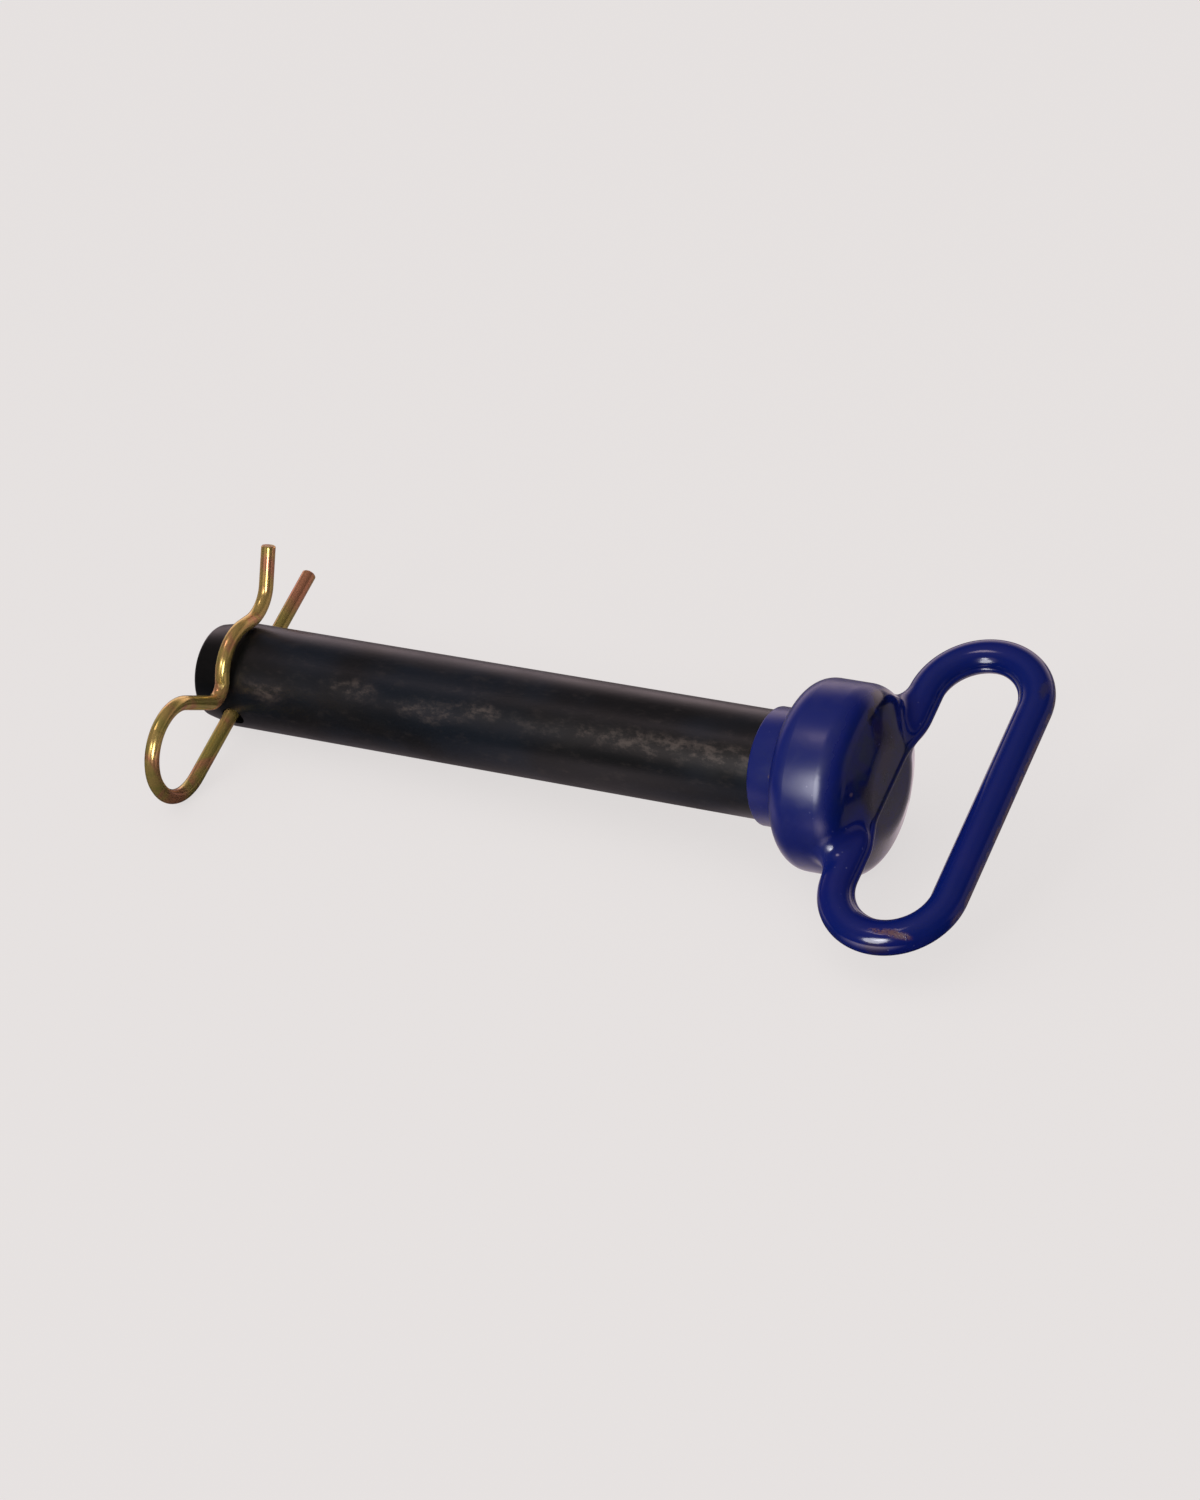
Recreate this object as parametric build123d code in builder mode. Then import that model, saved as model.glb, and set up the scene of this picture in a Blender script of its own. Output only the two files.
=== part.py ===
from build123d import *
import os
from math import acos, asin, atan2, cos, hypot, radians, sin

# Hitch pin: a turned steel shank seated in a forged, coated head with a D-handle, and a hairpin clip through the
# cross hole near its tip. It lies as it comes to rest: on the rim of its head, the edge of its tip and the bow of
# its clip. Millimetres, +Z up, origin under the middle of the lying pin, +X from tip to handle.

INCH = 25.4

# shank: a 1 1/8 inch bar, for a grip of 6 1/4 inches between the collar's face and the clip
shank_dia = 1.125 * INCH
grip_length = 158.2
hole_dia = 0.25 * INCH
tip_margin = 12.1
tip_taper_length = 8.8
tip_end_dia = 25.0
tip_edge_radius = 1.4
socket_depth = 23.0
socket_lead = 1.0

# head: collar, drum whose end bevels up to a flat face, and a ring of oval bar that grows out of that end
collar_dia = 31.1
collar_length = 8.8
collar_rim_radius = 0.45
shoulder_fillet = 0.8
drum_dia = 50.0
drum_corner = 28.4
drum_back_radius = 6.0
drum_front_radius = 7.0
face_position = 33.2
face_dia = 25.0
face_edge_radius = 10.0
bar_width = 9.3
bar_thickness = 8.0
ring_near = 31.0
ring_far = 61.3
ring_half_length = 44.8
root_height = 13.0
root_start = 16.0
root_radius = 8.5
root_blend = 6.5

# flash line left by the forging dies along the inner side of the ring and across the end face
flash_radius = 1.0
flash_proud = 0.4
flash_face_proud = 0.5
flash_cross_height = 11.0
flash_rise_height = 20.0
flash_bend_radius = 14.0

# hairpin clip: 5/32 inch spring wire bent in one plane, its straight leg drawn against the side of the hole
wire_dia = 5 / 32 * INCH
clip_lean = 2.7
leg_shift = -0.45
leg_lift = 0.95
straight_leg = 35.8
bow_corners = [(-47.9, -0.5), (-50.3, 22.9), (-32.2, 28.0)]
bow_radii = [13.7, 12.2, 13.1]
throat = (-14.8, 5.8)
throat_radius = 4.7
hump = (-5.3, 20.9)
hump_radius = 11.5
flare = (14.2, 10.0)
flare_radius = 9.0
flare_end = (26.2, 23.8)
wire_end_chamfer = 0.3

# worked out from the sizes above
shank_radius = shank_dia / 2
drum_radius = drum_dia / 2
wire_radius = wire_dia / 2
tip_end = -grip_length - tip_margin
taper_start = tip_end + tip_taper_length
bow_radius = (ring_far - ring_near) / 2
arc_height = ring_half_length - bow_radius


def bend_centre(before, corner, after, radius):
    """Centre of the round bend of that radius at a corner of a bent line."""
    back = (Vector(before) - Vector(corner)).normalized()
    ahead = (Vector(after) - Vector(corner)).normalized()
    half_angle = radians(back.get_angle(ahead)) / 2
    return Vector(corner) + (back + ahead).normalized() * (radius / sin(half_angle))


def rest_angles():
    """Pitch and roll at which the pin lies, and the height of the middle of its collar's face."""
    centre_x, centre_r = collar_length + drum_back_radius, drum_radius - drum_back_radius
    run, drop = centre_x - taper_start, centre_r - shank_radius
    pitch = atan2(drop, run) + asin(drum_back_radius / hypot(run, drop))
    height = centre_r * cos(pitch) - centre_x * sin(pitch) + drum_back_radius
    # the far side of the bow's first bend comes down to the floor
    centre = bend_centre((straight_leg, 0), bow_corners[0], bow_corners[1], bow_radii[0])
    across = centre.Y * cos(radians(clip_lean)) + leg_lift
    back = grip_length - leg_shift - centre.Y * sin(radians(clip_lean))
    room = bow_radii[0] + (wire_radius - height + back * sin(pitch)) / cos(pitch)
    roll = acos(room / hypot(centre.X, across)) - atan2(-centre.X, across)
    return pitch, roll, height


pitch, roll, collar_height = rest_angles()
axis_dir = Vector(cos(pitch), 0, sin(pitch))
face_dir = Vector(-sin(pitch) * cos(roll), -sin(roll), cos(pitch) * cos(roll))
# x runs along the pin from the collar's face, y along the handle, z out of the handle's plane
pin_plane = Plane(origin=(0, 0, collar_height), x_dir=axis_dir, z_dir=face_dir)
pin_axis = Axis(pin_plane.origin, pin_plane.x_dir)
hole_plane = Plane(
    origin=pin_plane.from_local_coords((-grip_length, 0, 0)), x_dir=pin_plane.x_dir, z_dir=pin_plane.y_dir
)
lean = radians(clip_lean)
clip_plane = Plane(
    origin=pin_plane.from_local_coords((leg_shift - grip_length, 0, leg_lift)),
    x_dir=pin_plane.y_dir,
    z_dir=pin_plane.x_dir * cos(lean) - pin_plane.z_dir * sin(lean),
)

with BuildPart() as shank:
    with BuildSketch(pin_plane) as shank_half:
        with BuildLine():
            Polyline(
                (tip_end, 0),
                (tip_end, tip_end_dia / 2),
                (taper_start, shank_radius),
                (socket_depth - socket_lead, shank_radius),
                (socket_depth, shank_radius - socket_lead),
                (socket_depth, 0),
                close=True,
            )
        make_face()
        tip_corner = shank_half.vertices().sort_by_distance(
            pin_plane.from_local_coords((tip_end, tip_end_dia / 2, 0))
        )[0]
        fillet(tip_corner, tip_edge_radius)
    revolve(axis=pin_axis)
    with BuildSketch(hole_plane):
        Circle(hole_dia / 2)
    extrude(amount=shank_dia, both=True, mode=Mode.SUBTRACT)
shank.part.label = "shank"

with BuildPart() as head:
    with BuildSketch(pin_plane) as head_half:
        with BuildLine():
            Line((0, 0), (0, collar_dia / 2))
            Line((0, collar_dia / 2), (collar_length, collar_dia / 2))
            Line((collar_length, collar_dia / 2), (collar_length, drum_radius))
            Line((collar_length, drum_radius), (drum_corner, drum_radius))
            Line((drum_corner, drum_radius), (face_position, face_dia / 2))
            Line((face_position, face_dia / 2), (face_position, 0))
            Line((face_position, 0), (0, 0))
        make_face()
        for corner, radius in (
            ((0, collar_dia / 2), collar_rim_radius),
            ((collar_length, collar_dia / 2), shoulder_fillet),
            ((collar_length, drum_radius), drum_back_radius),
            ((drum_corner, drum_radius), drum_front_radius),
            ((face_position, face_dia / 2), face_edge_radius),
        ):
            place = pin_plane.from_local_coords((*corner, 0))
            fillet(head_half.vertices().sort_by_distance(place)[0], radius)
    revolve(axis=pin_axis)
    with BuildLine(pin_plane) as ring:
        FilletPolyline(
            (root_start, root_height), (ring_near, root_height), (ring_near, arc_height), radius=root_radius
        )
        ThreePointArc(
            (ring_near, arc_height), (ring_near + bow_radius, ring_half_length), (ring_far, arc_height)
        )
        Line((ring_far, arc_height), (ring_far, -arc_height))
        ThreePointArc(
            (ring_far, -arc_height), (ring_near + bow_radius, -ring_half_length), (ring_near, -arc_height)
        )
        FilletPolyline(
            (ring_near, -arc_height), (ring_near, -root_height), (root_start, -root_height), radius=root_radius
        )
    with BuildSketch(
        Plane(
            origin=pin_plane.from_local_coords((root_start, root_height, 0)),
            x_dir=pin_plane.y_dir,
            z_dir=pin_plane.x_dir,
        )
    ):
        Ellipse(bar_width / 2, bar_thickness / 2)
    sweep(path=ring.wire())
    neck_edges = head.edges().filter_by(lambda edge: edge.geom_type not in (GeomType.CIRCLE, GeomType.LINE))
    fillet(neck_edges, root_blend)
    flash_near = ring_near + bar_width / 2 + flash_proud - flash_radius
    flash_far = ring_far - bar_width / 2 - flash_proud + flash_radius
    flash_cross = face_position + flash_face_proud - flash_radius
    with BuildLine(pin_plane) as flash:
        FilletPolyline(
            (flash_near, arc_height),
            (flash_near, flash_rise_height),
            (flash_cross, flash_cross_height),
            (flash_cross, -flash_cross_height),
            (flash_near, -flash_rise_height),
            (flash_near, -arc_height),
            radius=flash_bend_radius,
        )
        flash_reach = arc_height + (flash_far - flash_near) / 2
        middle = (flash_near + flash_far) / 2
        ThreePointArc((flash_near, arc_height), (middle, flash_reach), (flash_far, arc_height))
        Line((flash_far, arc_height), (flash_far, -arc_height))
        ThreePointArc((flash_far, -arc_height), (middle, -flash_reach), (flash_near, -arc_height))
    with BuildSketch(Plane(origin=flash.wire() @ 0, z_dir=flash.wire() % 0)):
        Circle(flash_radius)
    sweep(path=flash.wire())
    add(shank.part, mode=Mode.SUBTRACT)
head.part.label = "head"

with BuildPart() as hairpin_clip:
    with BuildLine(clip_plane) as wire:
        FilletPolyline(
            (straight_leg, 0),
            *bow_corners,
            throat,
            hump,
            flare,
            flare_end,
            radius=[*bow_radii, throat_radius, hump_radius, flare_radius],
        )
    with BuildSketch(Plane(origin=wire.wire() @ 0, z_dir=wire.wire() % 0)):
        Circle(wire_radius)
    sweep(path=wire.wire())
    cut_ends = hairpin_clip.faces().filter_by(GeomType.PLANE)
    chamfer(cut_ends.edges(), wire_end_chamfer)
hairpin_clip.part.label = "hairpin_clip"

# set the origin on the ground under the middle of the three
box = Compound([shank.part, head.part, hairpin_clip.part]).bounding_box()
to_origin = Location((-box.center().X, -box.center().Y, -box.min.Z))
for piece in (shank, head, hairpin_clip):
    piece.part.move(to_origin)

os.makedirs("parts", exist_ok=True)
export_step(shank.part, "parts/shank.step")
export_step(head.part, "parts/head.step")
export_step(hairpin_clip.part, "parts/hairpin_clip.step")
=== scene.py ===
from math import cos, pi, radians, sin

import bpy
from mathutils import Euler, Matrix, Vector

# Hitch pin lying on a pale table: a black steel shank, a blue enamelled head with a D-handle, and a
# zinc-plated clip. Sizes in millimetres become metres through MM.
MM = 0.001

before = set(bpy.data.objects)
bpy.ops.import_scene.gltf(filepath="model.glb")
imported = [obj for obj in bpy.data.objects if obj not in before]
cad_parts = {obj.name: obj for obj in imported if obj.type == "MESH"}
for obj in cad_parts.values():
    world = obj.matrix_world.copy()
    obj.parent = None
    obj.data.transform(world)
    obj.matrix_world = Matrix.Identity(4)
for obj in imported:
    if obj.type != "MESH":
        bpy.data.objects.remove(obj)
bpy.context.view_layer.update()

# the pin's own axes: X along the shank from the collar's face, Y along the handle, Z square to the
# handle's plane
collar_face = (52.112 * MM, 3.738 * MM, 24.090 * MM)
pin_turn = (radians(20.0), radians(-3.481), 0.0)

# sizes on the head that its wear follows
ring_middle = 46.15 * MM
ring_half_straight = 29.65 * MM
ring_radius = 15.15 * MM
drum_middle = 16.0 * MM
drum_crown = 90.0 * MM

# a mark ends this many of its own sizes from its centre, once noise has moved its rim
mark_reach = 1.8
mark_noise = 1.6

# the ground's colour to the eye, and how much of what the eye sees there is free of shadow
ground = "e8e4e3"
ground_evenness = 0.85
table_half_width = 6.0


def linear(hex_code):
    """An sRGB colour such as 1a1e6e as linear red, green, blue and alpha."""
    channels = [int(hex_code[i:i + 2], 16) / 255 for i in (0, 2, 4)]
    return [c / 12.92 if c <= 0.04045 else ((c + 0.055) / 1.055) ** 2.4 for c in channels] + [1.0]


def add(tree, kind, inputs=(), **settings):
    """Adds a node with its settings. Inputs come in order, or by name or number; each is a value, a
    socket to link, or a node whose first output in use is linked."""
    node = tree.nodes.new("ShaderNode" + kind)
    for name, value in settings.items():
        setattr(node, name, value)
    for name, value in (inputs if isinstance(inputs, dict) else dict(enumerate(inputs))).items():
        if isinstance(value, bpy.types.Node):
            value = next(output for output in value.outputs if output.enabled)
        if isinstance(value, bpy.types.NodeSocket):
            tree.links.new(value, node.inputs[name])
        else:
            node.inputs[name].default_value = value
    return node


def start_material(name):
    """A new material with its output, and places measured in the object."""
    material = bpy.data.materials.new(name)
    material.use_nodes = True
    tree = material.node_tree
    tree.nodes.clear()
    return material, tree, add(tree, "OutputMaterial"), add(tree, "TexCoord").outputs["Object"]


def start_finish(name):
    """A new material for a piece of the pin, with places measured along the pin's own axes."""
    material, tree, output, place = start_material(name)
    place = add(tree, "Mapping", (place, collar_face, pin_turn), vector_type="TEXTURE")
    return material, tree, output, place


def mark(tree, place, centre, size, edge, soft=0.35):
    """A soft-edged mark: a patch round centre, size millimetres along the pin's axes, its rim
    broken up by edge noise."""
    local = add(tree, "Mapping", {"Vector": place, "Location": [c * MM for c in centre],
                                  "Scale": [s * MM for s in size]}, vector_type="TEXTURE")
    reach = add(tree, "VectorMath", (local,), operation="LENGTH")
    ragged = add(tree, "Math", (edge, mark_noise, reach), operation="MULTIPLY_ADD")
    return add(tree, "MapRange", (ragged, mark_reach - soft, mark_reach + soft, 1.0, 0.0),
               interpolation_type="SMOOTHSTEP")


def lay_over(tree, colour, layers):
    """The colour with layers laid over it in turn, each where it goes, how strong it is and its own
    colour."""
    for where, strength, over in layers:
        share = add(tree, "Math", (where, strength), operation="MULTIPLY")
        colour = add(tree, "Mix", {0: share, 6: colour, 7: linear(over)}, data_type="RGBA")
    return colour


def painted_forging():
    """Gloss enamel over a steel forging: deep navy with a clear gloss, a faint orange peel, a haze
    on the drum where hands and drawbars rub it, an end face darkened with painted shade and
    stained, and rust where the handle has knocked through the paint."""
    material, tree, output, place = start_finish("gloss_enamel_on_forged_steel")
    axes = add(tree, "SeparateXYZ", (place,)).outputs
    upright = add(tree, "Math", (axes["Z"],), operation="ABSOLUTE")
    sideways = add(tree, "Math", (axes["Y"],), operation="ABSOLUTE")
    cloud = add(tree, "TexNoise", {"Vector": place, "Scale": 1 / (14 * MM)})
    peel = add(tree, "TexNoise", {"Vector": place, "Scale": 1 / (1.6 * MM)})
    fleck = add(tree, "TexNoise", {"Vector": place, "Scale": 1 / (0.9 * MM), "Detail": 3})
    ragged = add(tree, "TexNoise", {"Vector": place, "Scale": 1 / (1.8 * MM), "Detail": 4,
                                    "Roughness": 0.65})
    smear = add(tree, "TexNoise", {"Vector": place, "Scale": 1 / (5 * MM), "Detail": 4,
                                   "Distortion": 0.6})

    # the end face, less the two roots where the handle grows out of it
    face = add(tree, "MapRange", (axes["X"], 27.0 * MM, 32.0 * MM), interpolation_type="SMOOTHSTEP")
    for distance, near, far in ((axes["X"], 34.4, 36.0), (sideways, 20.0, 25.0)):
        edge = add(tree, "MapRange", (distance, near * MM, far * MM, 1.0, 0.0),
                   interpolation_type="SMOOTHSTEP")
        face = add(tree, "Math", (face, edge), operation="MULTIPLY")
    root = add(tree, "MapRange", (sideways, 10 * MM, 14 * MM), interpolation_type="SMOOTHSTEP")
    flank = add(tree, "MapRange", (upright, 7 * MM, 11 * MM, 1.0, 0.0),
                interpolation_type="SMOOTHSTEP")
    root = add(tree, "Math", (root, flank), operation="MULTIPLY")
    clear = add(tree, "Math", (1.0, root), operation="SUBTRACT")
    face = add(tree, "Math", (face, clear), operation="MULTIPLY")
    stain = add(tree, "MapRange", (smear, 0.40, 0.66), interpolation_type="SMOOTHSTEP")
    stain = add(tree, "Math", (stain, face), operation="MULTIPLY")
    grime = add(tree, "MapRange", (cloud, 0.52, 0.62), interpolation_type="SMOOTHSTEP")
    grime = add(tree, "Math", (grime, face), operation="MULTIPLY")

    # where the ring's parting line, round its outside, rubs through
    along = add(tree, "Math", (sideways, ring_half_straight), operation="SUBTRACT")
    along = add(tree, "Math", (along, 0.0), operation="MAXIMUM")
    across = add(tree, "Math", (axes["X"], ring_middle), operation="SUBTRACT")
    radius = add(tree, "VectorMath", (add(tree, "CombineXYZ", (along, across)),),
                 operation="LENGTH")
    wander = add(tree, "Math", (ragged, 2.0 * MM, upright), operation="MULTIPLY_ADD")
    rubbed = add(tree, "MapRange", (wander, 1.2 * MM, 2.2 * MM, 1.0, 0.0),
                 interpolation_type="SMOOTHSTEP")
    outside = add(tree, "MapRange", (radius, ring_radius + 3.0 * MM, ring_radius + 3.8 * MM))
    far_side = add(tree, "MapRange", (axes["X"], 50 * MM, 58 * MM),
                   interpolation_type="SMOOTHSTEP")
    above = add(tree, "MapRange", (axes["Y"], -40 * MM, -32 * MM), interpolation_type="SMOOTHSTEP")
    patchy = add(tree, "MapRange", (smear, 0.40, 0.56), interpolation_type="SMOOTHSTEP")
    for limit in (outside, far_side, above, patchy):
        rubbed = add(tree, "Math", (rubbed, limit), operation="MULTIPLY")

    # rust on the crown of the lower bend, broken up by sound paint, and a chip on the upper bend
    rust = add(tree, "Math", (mark(tree, place, (53.6, -45.0, 3.6), (3.6, 0.9, 1.6), ragged, 0.6),
                              mark(tree, place, (49.0, -45.3, 3.8), (2.0, 0.6, 1.2), ragged, 0.6)),
               operation="MAXIMUM")
    rust = add(tree, "Math", (rust, add(tree, "MapRange", (fleck, 0.36, 0.50))),
               operation="MULTIPLY")
    chip = mark(tree, place, (63.2, 35.0, 3.2), (1.1, 2.8, 1.4), ragged, 0.6)

    # dust is really a tenth of a millimetre a speck, drawn coarse enough to show
    dots = add(tree, "TexVoronoi", {"Vector": place, "Scale": 1 / (2.6 * MM)})
    dots = add(tree, "MapRange", (dots, 0.05, 0.11, 1.0, 0.0))
    dust = add(tree, "Math", (dots, add(tree, "MapRange", (cloud, 0.50, 0.60))),
               operation="MULTIPLY")

    # navy with thinner violet passages, then each mark laid over it
    drum = add(tree, "MapRange", (axes["X"], 26 * MM, 29 * MM, 1.0, 0.0),
               interpolation_type="SMOOTHSTEP")
    violet = add(tree, "MapRange", (cloud, 0.35, 0.70), interpolation_type="SMOOTHSTEP")
    colour = add(tree, "Mix", {0: violet, 6: linear("07185e"), 7: linear("0e1860")},
                 data_type="RGBA")
    colour = lay_over(tree, colour, (
        (drum, 0.6, "081a6c"),
        # painted shade: the end face darkened where it turns away from the light
        (face, 0.55, "0a0c24"),
        (stain, 0.40, "1d2726"),
        (grime, 0.45, "2a1f26"),
        # dark patches, and one lighter one, on the drum's front edge
        (mark(tree, place, (29.2, 14.0, 17.0), (2.6, 4.6, 2.6), ragged), 0.8, "08080f"),
        (mark(tree, place, (29.8, 7.0, 19.2), (1.4, 2.6, 1.2), ragged), 0.8, "0a0910"),
        (mark(tree, place, (28.0, 19.5, 13.5), (0.9, 1.8, 1.4), ragged), 0.6, "4a3436"),
        (rust, 0.7, "6a3a28"),
        # a dark rub on the outside of the lower bend
        (mark(tree, place, (48.9, -49.0, 1.4), (3.2, 1.4, 1.8), ragged, 0.6), 0.5, "34282c"),
        (rubbed, 0.65, "6d5558"),
        (chip, 0.35, "2c2030"),
        # one knock on the face's edge, and one on the collar
        (mark(tree, place, (30.9, -13.2, 12.9), (0.8, 0.5, 0.5), ragged, 0.5), 0.4, "6d5a5e"),
        (mark(tree, place, (6.5, -10.9, 11.1), (0.4, 0.4, 0.4), ragged, 0.5), 0.6, "6d5a5e"),
        (dust, 0.30, "7d7fa8")))

    # glassy on the handle, hazed on the drum, duller on the end face and where the paint is gone
    shine = add(tree, "MapRange", (smear, 0.40, 0.75, 0.10, 0.17), interpolation_type="SMOOTHSTEP")
    flat = add(tree, "MapRange", (axes["X"], 32.2 * MM, 33.0 * MM), interpolation_type="SMOOTHSTEP")
    flat = add(tree, "Math", (flat, face), operation="MULTIPLY")
    bare = add(tree, "Math", (rust, rubbed), operation="MAXIMUM")
    bare = add(tree, "Math", (bare, chip), operation="MAXIMUM")
    for where, duller in ((drum, 0.18), (flat, 0.06), (stain, 0.06), (bare, 0.35)):
        shine = add(tree, "Math", (where, duller, shine), operation="MULTIPLY_ADD")

    # thick paint stands a little fuller round the middle of the drum's side than at its edges: it
    # falls away by the square of the distance over twice the crown's radius
    offset = add(tree, "Math", (axes["X"], drum_middle), operation="SUBTRACT")
    offset = add(tree, "Math", (offset, offset), operation="MULTIPLY")
    fullness = add(tree, "Math", (offset, -1 / (2 * drum_crown)), operation="MULTIPLY")
    crown = add(tree, "Bump", {"Strength": drum, "Distance": 1.0, "Height": fullness})
    peel_bump = add(tree, "Bump", {"Strength": 0.5, "Distance": 0.012 * MM, "Height": peel,
                                   "Normal": crown})
    wear_bump = add(tree, "Bump", {"Strength": 0.6, "Distance": 0.12 * MM, "Height": bare,
                                   "Normal": peel_bump}, invert=True)
    shader = add(tree, "BsdfPrincipled", {"Base Color": colour, "Roughness": shine, "IOR": 1.5,
                                          "Normal": wear_bump})
    tree.links.new(shader.outputs[0], output.inputs["Surface"])
    return material


def blackened_bar():
    """Hot-oiled black oxide on drawn bar: near-black satin with beige-grey smudges along the side
    that catches the light, partly rubbed metal and partly a painted sheen, over a fine lengthwise
    draw, and blacker still on the tip, partly with painted shade from the clip."""
    material, tree, output, place = start_finish("oiled_black_oxide_steel")
    axes = add(tree, "SeparateXYZ", (place,)).outputs
    lengthwise = add(tree, "Mapping", {"Vector": place, "Scale": (0.6, 1.0, 1.0)})
    drawn = add(tree, "Mapping", {"Vector": place, "Scale": (0.11, 1.0, 1.0)})
    broad = add(tree, "TexNoise", {"Vector": lengthwise, "Scale": 1 / (16 * MM), "Detail": 4,
                                   "Distortion": 0.5})
    oil = add(tree, "TexNoise", {"Vector": lengthwise, "Scale": 1 / (22 * MM)})
    mottle = add(tree, "TexNoise", {"Vector": lengthwise, "Scale": 1 / (2.6 * MM), "Detail": 5,
                                    "Roughness": 0.7})
    draw = add(tree, "TexNoise", {"Vector": drawn, "Scale": 1 / (0.7 * MM), "Detail": 3,
                                  "Roughness": 0.7})

    # beige smudges along the side that catches the light, partly rubbed metal and partly a painted
    # sheen; the long one by the head is a painted highlight streak: where, how long and how wide
    rubs_and_sheen = 0.0
    for centre, length, width in (
            ((-146.0, -10.4, 9.8), 6.0, 3.0),
            ((-119.6, -7.3, 12.3), 7.0, 2.2),
            ((-94.4, -9.1, 11.0), 8.0, 2.2),
            ((-79.5, -7.2, 12.3), 6.0, 2.0),
            ((-22.0, -7.6, 12.1), 40.0, 2.6)):
        rub_and_sheen = mark(tree, place, centre, (length, width, width), broad, 0.7)
        rubs_and_sheen = add(tree, "Math", (rubs_and_sheen, rub_and_sheen), operation="MAXIMUM")
    speckle = add(tree, "MapRange", (mottle, 0.44, 0.66, 0.15, 1.0),
                  interpolation_type="SMOOTHSTEP")
    rubs_and_sheen = add(tree, "Math", (rubs_and_sheen, speckle), operation="MULTIPLY")
    faint = add(tree, "MapRange", (mottle, 0.52, 0.70), interpolation_type="SMOOTHSTEP")
    # the tip is darker: partly a blacker finish, partly painted shade where the clip shades it
    tip = add(tree, "MapRange", (axes["X"], -160 * MM, -153 * MM, 1.0, 0.0),
              interpolation_type="SMOOTHSTEP")

    # black with bluish and brownish passages, then a faint mottle, the smudges with their painted
    # sheen, and the tip darkened partly with painted shade, laid over it
    bluish = add(tree, "MapRange", (oil, 0.40, 0.62), interpolation_type="SMOOTHSTEP")
    brown = add(tree, "MapRange", (broad, 0.50, 0.75), interpolation_type="SMOOTHSTEP")
    colour = add(tree, "Mix", {0: bluish, 6: linear("101113"), 7: linear("101822")},
                 data_type="RGBA")
    colour = lay_over(tree, colour, (
        (brown, 0.5, "1d1917"), (faint, 0.15, "4a413c"), (rubs_and_sheen, 0.36, "6e5f56"),
        (tip, 0.7, "090908")))

    rough = add(tree, "MapRange", (broad, 0.35, 0.70, 0.30, 0.40), interpolation_type="SMOOTHSTEP")
    rough = add(tree, "Math", (rubs_and_sheen, 0.10, rough), operation="MULTIPLY_ADD")
    draw_bump = add(tree, "Bump", {"Strength": 0.35, "Distance": 0.02 * MM, "Height": draw})
    wear_bump = add(tree, "Bump", {"Strength": 0.35, "Distance": 0.05 * MM, "Height": mottle,
                                   "Normal": draw_bump})
    shader = add(tree, "BsdfPrincipled", {"Base Color": colour, "Roughness": rough, "IOR": 1.5,
                                          "Specular IOR Level": 0.35, "Normal": wear_bump})
    tree.links.new(shader.outputs[0], output.inputs["Surface"])
    return material


def zinc_wire():
    """Spring wire with yellow-chromate zinc: bright metal under a slightly milky gold film that
    drifts to olive and copper pink, nicked and thin where it has been sprung over the pin."""
    material, tree, output, place = start_finish("yellow_chromate_zinc_wire")
    drift = add(tree, "TexNoise", {"Vector": place, "Scale": 1 / (9 * MM), "Distortion": 0.4})
    blush = add(tree, "TexNoise", {"Vector": place, "Scale": 1 / (6 * MM), "Distortion": 0.8})
    nick = add(tree, "TexNoise", {"Vector": place, "Scale": 1 / (1.5 * MM), "Detail": 3,
                                  "Roughness": 0.6})
    drawn = add(tree, "Mapping", {"Vector": place, "Scale": (1.0, 1.0, 0.2)})
    scratch = add(tree, "TexNoise", {"Vector": drawn, "Scale": 1 / (0.8 * MM), "Detail": 4,
                                     "Roughness": 0.7})

    # the film is thickest, and copper pink, on the far leg, at the foot of the bow and at the wavy
    # leg's flare
    olive = add(tree, "MapRange", (drift, 0.38, 0.62), interpolation_type="SMOOTHSTEP")
    pink = add(tree, "MapRange", (blush, 0.50, 0.66, 0.0, 0.8), interpolation_type="SMOOTHSTEP")
    for centre, size in (((-158, 29, 2), (3.5, 9, 1.8)), ((-156, -48, 6), (6, 5, 6)),
                         ((-156, 22, 21), (2, 2, 6))):
        pink = add(tree, "Math", (pink, mark(tree, place, centre, size, drift, 0.6)),
                   operation="MAXIMUM")
    # nicks all over, and one deep one where the wavy leg bears on the shank
    pits = add(tree, "MapRange", (nick, 0.71, 0.75), interpolation_type="SMOOTHSTEP")
    bite = mark(tree, place, (-156.9, -13.6, 12.8), (1.2, 0.9, 0.7), nick)
    pits = add(tree, "Math", (pits, bite), operation="MAXIMUM")
    colour = lay_over(tree, linear("dcbb70"), (
        (olive, 0.8, "b8ae5c"), (pink, 0.85, "db9274"), (pits, 0.6, "4c3826")))

    rough = add(tree, "MapRange", (scratch, 0.35, 0.70, 0.20, 0.27),
                interpolation_type="SMOOTHSTEP")
    rough = add(tree, "Math", (pits, 0.25, rough), operation="MULTIPLY_ADD")
    fine = add(tree, "Bump", {"Strength": 0.05, "Distance": 0.01 * MM, "Height": scratch})
    dents = add(tree, "Bump", {"Strength": 0.5, "Distance": 0.1 * MM, "Height": pits,
                               "Normal": fine}, invert=True)
    shader = add(tree, "BsdfPrincipled", {"Base Color": colour, "Metallic": 0.75,
                                          "Roughness": rough, "Normal": dents})
    tree.links.new(shader.outputs[0], output.inputs["Surface"])
    return material


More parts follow.
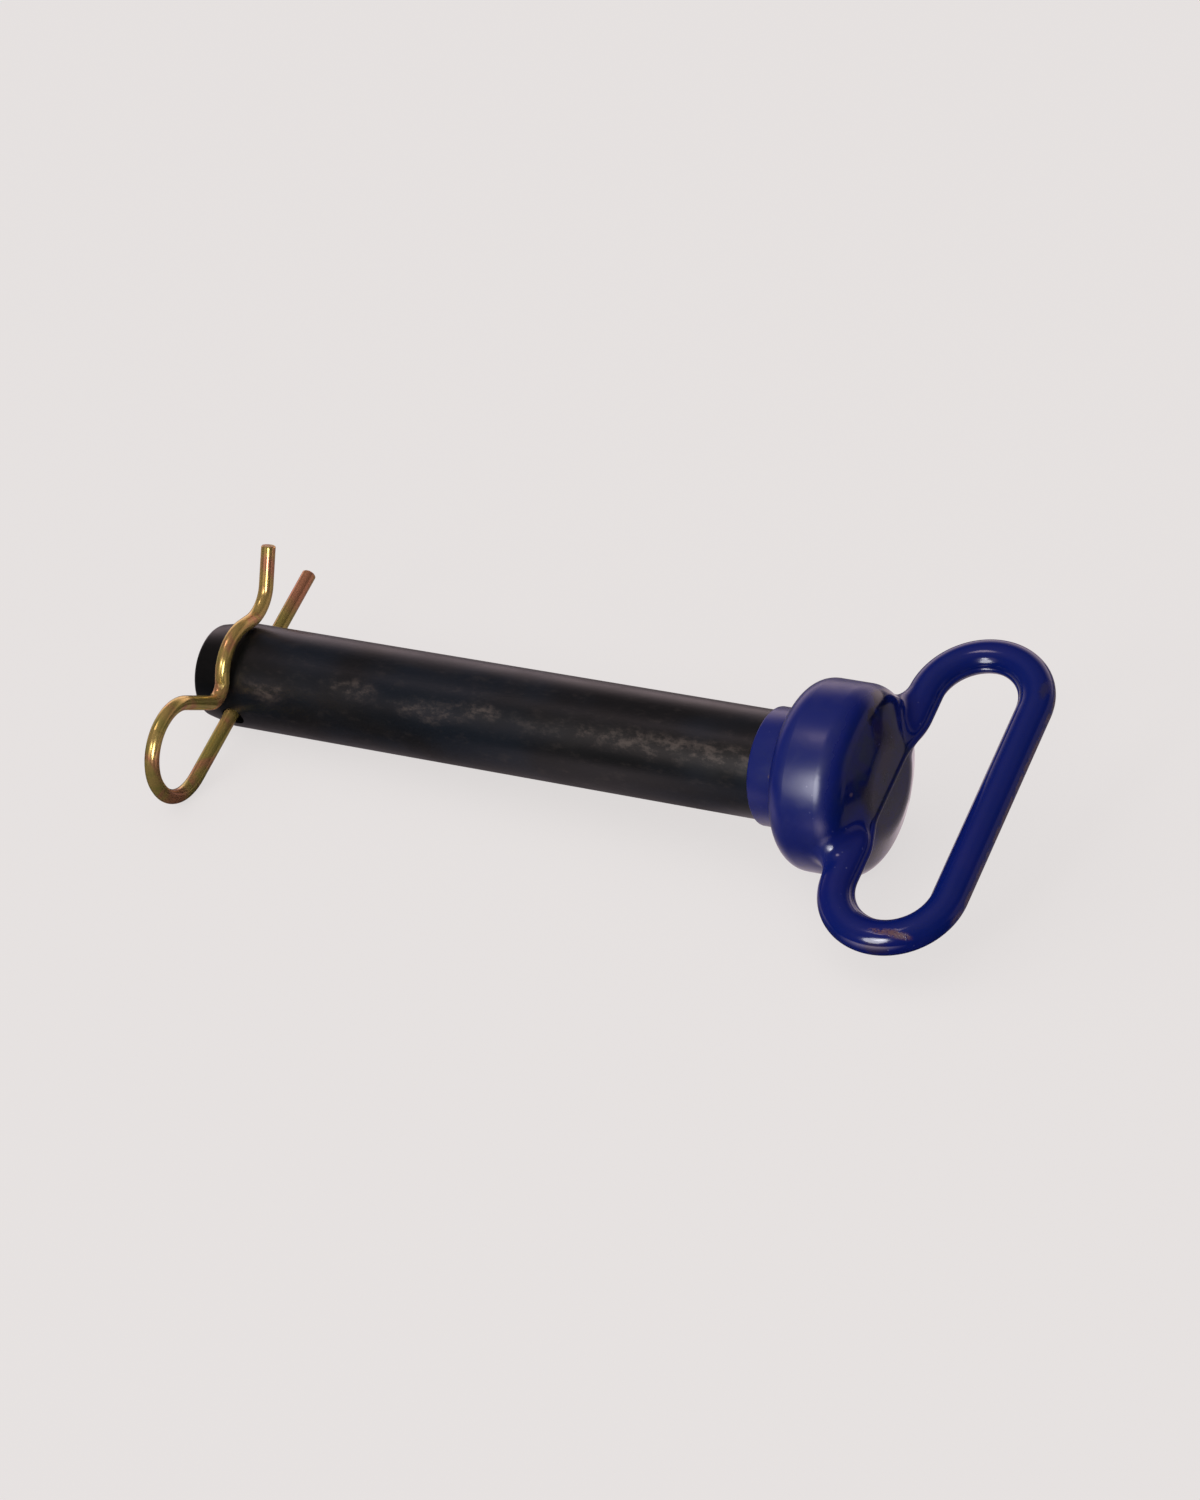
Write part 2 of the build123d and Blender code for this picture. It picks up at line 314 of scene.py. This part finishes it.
def pale_table():
    """Pale matt table top: even to the eye, keeping a little of the object's shadow. To gloss it
    glows with painted light: bright behind the pin, painted shade in front of it, under the shank
    and past the handle, and painted glints of a lamp and a pale card."""
    material, tree, output, place = start_material("pale_table")
    path = add(tree, "LightPath").outputs
    axes = add(tree, "SeparateXYZ", (place,)).outputs
    # painted shade for gloss: the table's glow goes dark in front of the pin, under the shank and
    # past the handle
    bright = 1.2
    for axis, start, stop, low, high in (("Y", -30, -6, 0.05, 1.0), ("X", 70, 105, 1.0, 0.25),
                                         ("X", 30, 60, 0.25, 1.0)):
        fade = add(tree, "MapRange", (axes[axis], start * MM, stop * MM, low, high),
                   interpolation_type="SMOOTHSTEP")
        bright = add(tree, "Math", (bright, fade), operation="MULTIPLY")
    # painted glints for gloss: a lamp's and a pale card's reflection in the table, as centre, size
    # and strength
    for centre, size, strength in (((0.088, -0.085, 0), (0.045, 0.04, 1), 5.0),
                                   ((-0.005, -0.040, 0), (0.07, 0.04, 1), 1.0)):
        local = add(tree, "Mapping", {"Vector": place, "Location": centre, "Scale": size},
                    vector_type="TEXTURE")
        reach = add(tree, "VectorMath", (local,), operation="LENGTH")
        glint = add(tree, "MapRange", (reach, 0.0, 1.0, strength, 0.0),
                    interpolation_type="SMOOTHSTEP")
        bright = add(tree, "Math", (bright, glint), operation="ADD")
    mirrored = add(tree, "Math", (path["Is Glossy Ray"], path["Is Transmission Ray"]),
                   operation="MAXIMUM")
    bright = add(tree, "Math", (bright, mirrored), operation="MULTIPLY")
    bright = add(tree, "Math", (bright, path["Is Camera Ray"]), operation="MAXIMUM")
    even = add(tree, "Math", (path["Is Camera Ray"], ground_evenness), operation="MULTIPLY")
    even = add(tree, "Math", (even, mirrored), operation="MAXIMUM")
    shade = add(tree, "BsdfDiffuse", {"Color": linear(ground)})
    colour = add(tree, "Mix", {0: path["Is Camera Ray"], 6: linear("e4d2d8"), 7: linear(ground)},
                 data_type="RGBA")
    glow = add(tree, "Emission", {"Color": colour, "Strength": bright})
    shader = add(tree, "MixShader", (even, shade, glow))
    tree.links.new(shader.outputs[0], output.inputs["Surface"])
    return material


def facing(tree, ray, direction, inner, outer, strength):
    """Strength within inner degrees of a direction, fading to 0 at outer degrees."""
    near = add(tree, "VectorMath", (ray, Vector(direction).normalized()), operation="DOT_PRODUCT")
    return add(tree, "MapRange", (near, cos(radians(outer)), cos(radians(inner)), 0.0, strength),
               interpolation_type="SMOOTHSTEP")


def light_studio():
    """Soft light from the upper left and, for gloss, a dark room with pale panels and lamps."""
    studio = bpy.data.worlds.new("studio")
    bpy.context.scene.world = studio
    studio.use_nodes = True
    tree = studio.node_tree
    tree.nodes.clear()
    output = add(tree, "OutputWorld")
    path = add(tree, "LightPath").outputs
    ray = add(tree, "TexCoord").outputs["Generated"]
    height = add(tree, "SeparateXYZ", (ray,)).outputs["Z"]

    # a faint haze overhead
    level = add(tree, "MapRange", (height, sin(radians(38)), sin(radians(62)), 0.05, 0.13),
                interpolation_type="SMOOTHSTEP")
    # panels that stand on the table: where they are, how wide, how bright, and between which
    # heights in degrees they fade out
    for direction, inner, outer, strength, low, high in (
            ((-0.34, 0.94, 0.0), 25, 65, 1.35, 8, 42),
            ((0.87, 0.50, 0.0), 15, 45, 0.26, 16, 28)):
        panel = facing(tree, ray, direction, inner, outer, strength)
        fade = add(tree, "MapRange", (height, sin(radians(low)), sin(radians(high)), 1.0, 0.0),
                   interpolation_type="SMOOTHSTEP")
        level = add(tree, "Math", (panel, fade, level), operation="MULTIPLY_ADD")
    # a lamp overhead with its halo, and a soft one in front
    for direction, inner, outer, strength in (
            ((-0.35, -0.21, 0.91), 1, 8, 5.0),
            ((-0.32, -0.19, 0.93), 5, 35, 0.1),
            ((-0.24, -0.90, 0.38), 4, 22, 0.9)):
        lamp = facing(tree, ray, direction, inner, outer, strength)
        level = add(tree, "Math", (level, lamp), operation="ADD")
    reflected = add(tree, "Background", (linear("ffe6ea"), level))

    fill = 0.18
    daylight = facing(tree, ray, (-0.40, -0.45, 0.80), 5, 84, 1.2)
    daylight = add(tree, "Math", (daylight, fill), operation="ADD")
    ambient = add(tree, "Background", (linear("fffbfa"), daylight))
    light = add(tree, "MixShader", (path["Is Glossy Ray"], ambient, reflected))
    # past the table's edge the eye sees the same pale ground
    backdrop = add(tree, "Background", (linear(ground), 1.0))
    shader = add(tree, "MixShader", (path["Is Camera Ray"], light, backdrop))
    tree.links.new(shader.outputs[0], output.inputs["Surface"])
    # rays find this light by themselves, so gloss and matt surfaces each see only their own share
    studio.cycles.sampling_method = "NONE"


def add_lamp(name, place, width, radiance, gloss_only):
    """A round lamp that faces the pin. It gives the stated radiance whatever its width."""
    lamp_data = bpy.data.lights.new(name, "AREA")
    lamp_data.shape = "DISK"
    lamp_data.size = width
    area = pi * (width / 2) ** 2
    lamp_data.energy = radiance * pi * area
    lamp = bpy.data.objects.new(name, lamp_data)
    bpy.context.collection.objects.link(lamp)
    lamp.location = place
    lamp.rotation_euler = lamp.location.to_track_quat("Z", "Y").to_euler()
    lamp.visible_camera = False
    lamp.visible_diffuse = not gloss_only


for node, make in (("head", painted_forging), ("shank", blackened_bar),
                   ("hairpin_clip", zinc_wire)):
    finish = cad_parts[node].data.materials
    finish.clear()
    finish.append(make())

table_mesh = bpy.data.meshes.new("table")
corners = [(x * table_half_width, y * table_half_width, 0)
           for x, y in ((-1, -1), (1, -1), (1, 1), (-1, 1))]
table_mesh.from_pydata(corners, [], [(0, 1, 2, 3)])
table_mesh.materials.append(pale_table())
table = bpy.data.objects.new("table", table_mesh)
bpy.context.collection.objects.link(table)

light_studio()
# clear in the gloss of the handle's bends, and soft on the drum
add_lamp("front_lamp", (-0.195, -1.26, 0.78), 0.30, 11.0, gloss_only=False)
# close in, to draw the bright streaks along the clip
add_lamp("near_lamp", (0.045, -0.215, 0.100), 0.11, 10.0, gloss_only=True)

camera_data = bpy.data.cameras.new("camera")
camera_data.lens = 134.33
camera_data.sensor_width = 36
camera_data.sensor_fit = "HORIZONTAL"
camera = bpy.data.objects.new("camera", camera_data)
camera.location = (0.50459, -0.83113, 0.66747)
camera.rotation_euler = Euler([radians(angle) for angle in (56.1457, 4.5876, 28.0330)])
bpy.context.collection.objects.link(camera)
bpy.context.scene.camera = camera

bpy.context.scene.view_settings.view_transform = "Standard"
